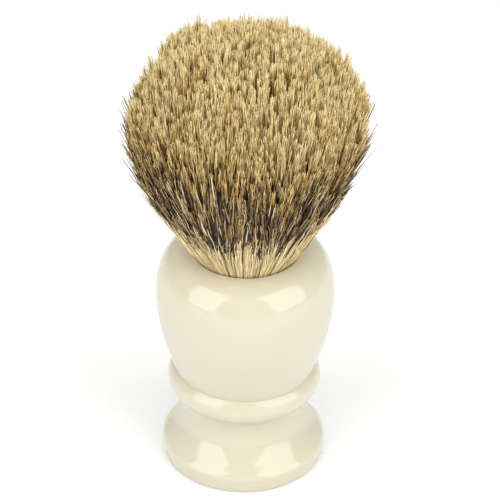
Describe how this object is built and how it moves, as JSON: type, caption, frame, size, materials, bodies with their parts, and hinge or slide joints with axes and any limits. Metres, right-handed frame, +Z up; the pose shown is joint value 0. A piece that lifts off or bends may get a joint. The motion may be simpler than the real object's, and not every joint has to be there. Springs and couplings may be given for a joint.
{
  "type": "shaving brush",
  "caption": "Shaving brush: a full flared knot of fine soft hair set in a turned resin handle with a rounded grip, a bead and a round foot it stands on.",
  "frame": {"origin": "centre of the foot's underside, on the brush's axis", "axes": "+Z up the brush's axis from the foot to the tips of the hair; the brush is turned about Z, so X and Y are level and free to choose"},
  "size_m": [0.0486, 0.0486, 0.1015],
  "materials": {
    "handle_resin": "cast faux-ivory resin, turned and polished to a high gloss",
    "label_card": "plain matt card",
    "set_glue": "set amber glue",
    "waxed_thread": "waxed cotton thread",
    "hair": "badger hair, pale at the root, dark brown in a band, cream at the tips"
  },
  "bodies": {
    "handle": {"handle_body": "handle_resin", "base_label": "label_card", "socket_adhesive": "set_glue", "knot_plug": "set_glue", "root_binding": "waxed_thread", "hair_root": "hair"},
    "hair_base": {"hair_lower": "hair"},
    "hair_bloom": {"hair_upper": "hair"}
  },
  "joints": [
    {"name": "lean_sideways", "type": "hinge", "parent": "handle", "child": "hair_base", "pos_m": [0, 0, 0.063], "axis": [0, 1, 0], "range_deg": [-25, 25], "stiffness_Nm_per_rad": 0.05},
    {"name": "lean_front_back", "type": "hinge", "parent": "hair_base", "child": "hair_bloom", "pos_m": [0, 0, 0.075], "axis": [1, 0, 0], "range_deg": [-25, 25], "stiffness_Nm_per_rad": 0.05}
  ]
}
